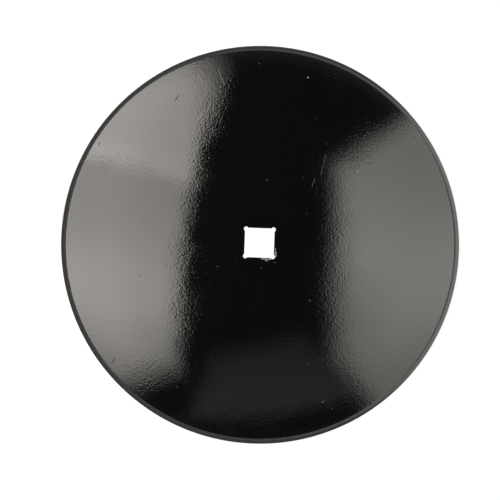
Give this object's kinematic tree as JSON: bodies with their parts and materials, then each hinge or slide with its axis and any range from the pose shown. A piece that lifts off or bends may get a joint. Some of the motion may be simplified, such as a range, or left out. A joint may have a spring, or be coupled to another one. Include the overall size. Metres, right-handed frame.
{
  "type": "harrow disc blade",
  "caption": "Plain dished disc blade with a bevelled rim and a square axle hole, for a disc harrow gang.",
  "frame": {"origin": "on the blade's axis, in the plane that the rim rests on", "axes": "+Z along the blade's axis, out of the domed face; X and Y square to the axle hole's sides"},
  "size_m": [0.407, 0.407, 0.0476],
  "materials": {
    "black_paint": "gloss"
  },
  "bodies": {
    "root": {"disc_blade": "black_paint"}
  },
  "joints": []
}
